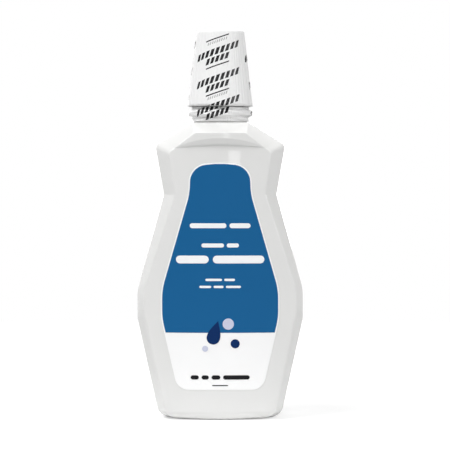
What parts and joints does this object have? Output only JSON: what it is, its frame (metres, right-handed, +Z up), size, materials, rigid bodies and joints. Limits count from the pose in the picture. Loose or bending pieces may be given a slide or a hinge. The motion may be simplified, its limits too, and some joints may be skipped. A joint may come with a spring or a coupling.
{
  "type": "mouthwash bottle",
  "caption": "Faceted, waisted plastic bottle with an arched shoulder ledge, front and back labels, and a tall tapered screw-on measuring cap under a shrink band.",
  "frame": {"origin": "middle of the base, on the surface that the bottle stands on", "axes": "+Z up along the neck's axis, -Y out of the front label, +X to the right of someone looking at the front"},
  "size_m": [0.1078, 0.0706, 0.2515],
  "materials": {
    "bottle_white": "glossy opaque white blow-moulded polyethylene",
    "rinse": "clear blue-green liquid",
    "label_white": "white film label",
    "label_blue": "blue ink under a clear varnish",
    "band_film": "thin glossy shrink film",
    "seal_foam": "soft foamed polyethylene washer",
    "cup_natural": "milky uncoloured polypropylene",
    "cap_white": "white polypropylene with fine upright ribs"
  },
  "bodies": {
    "bottle": {"bottle": "bottle_white", "mouthwash": "rinse", "front_label": "label_white", "front_label_print": "label_blue", "back_label": "label_white", "shrink_band_lower": "band_film"},
    "seal": {"seal_ring": "seal_foam"},
    "cap": {"dosing_cup": "cup_natural", "cap_shell": "cap_white", "shrink_band_upper": "band_film"}
  },
  "joints": [
    {"name": "cap_rise", "type": "slide", "parent": "bottle", "child": "seal", "axis": [0, 0, 1], "range_m": [0, 0.0106]},
    {"name": "cap_turn", "type": "hinge", "parent": "seal", "child": "cap", "pos_m": [0, 0, 0.208], "axis": [0, 0, 1], "range_deg": [0, 900]}
  ],
  "couplings": [
    {"joint": "cap_rise", "follows": "cap_turn", "m_per_rad": 0.00067323}
  ]
}
